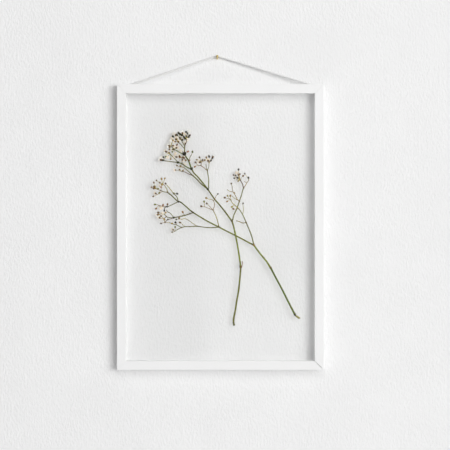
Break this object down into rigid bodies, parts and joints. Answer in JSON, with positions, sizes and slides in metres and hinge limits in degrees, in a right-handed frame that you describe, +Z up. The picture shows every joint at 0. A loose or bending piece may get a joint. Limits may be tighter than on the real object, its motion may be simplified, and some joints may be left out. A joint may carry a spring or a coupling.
{
  "type": "pressed flower frame",
  "caption": "Slim white frame with dried small-flowered sprigs pressed between clear panes, hung by an elastic cord over a wall pin.",
  "frame": {"origin": "the point where the hanging pin meets the wall, in the plane of the frame's back face", "axes": "+X to the viewer's right, +Y into the wall, +Z up"},
  "size_m": [0.228, 0.0256, 0.3484],
  "materials": {
    "white_paint": "smooth satin white paint",
    "clear_pane": "clear polished sheet",
    "cord_elastic": "pale matt elastic",
    "pin_brass": "polished brass",
    "dried_plant": "dry matt stems, olive to brown, with brown buds and cream flowers"
  },
  "bodies": {
    "root": {"bar_top": "white_paint", "bar_right": "white_paint", "bar_bottom": "white_paint", "bar_left": "white_paint", "pane_front": "clear_pane", "pane_back": "clear_pane", "hanging_cord": "cord_elastic", "wall_pin": "pin_brass", "upright_stem": "dried_plant", "upright_left_limb": "dried_plant", "upright_right_limb": "dried_plant", "upright_crown": "dried_plant", "upright_crown_side": "dried_plant", "upright_small_spray": "dried_plant", "leaning_stem": "dried_plant", "leaning_main_limb": "dried_plant", "leaning_right_limb": "dried_plant", "leaning_small_spray": "dried_plant", "leaning_lower_spray": "dried_plant", "leaning_middle_spray": "dried_plant", "leaning_inner_spray": "dried_plant", "leaning_top_spray": "dried_plant"}
  },
  "joints": []
}
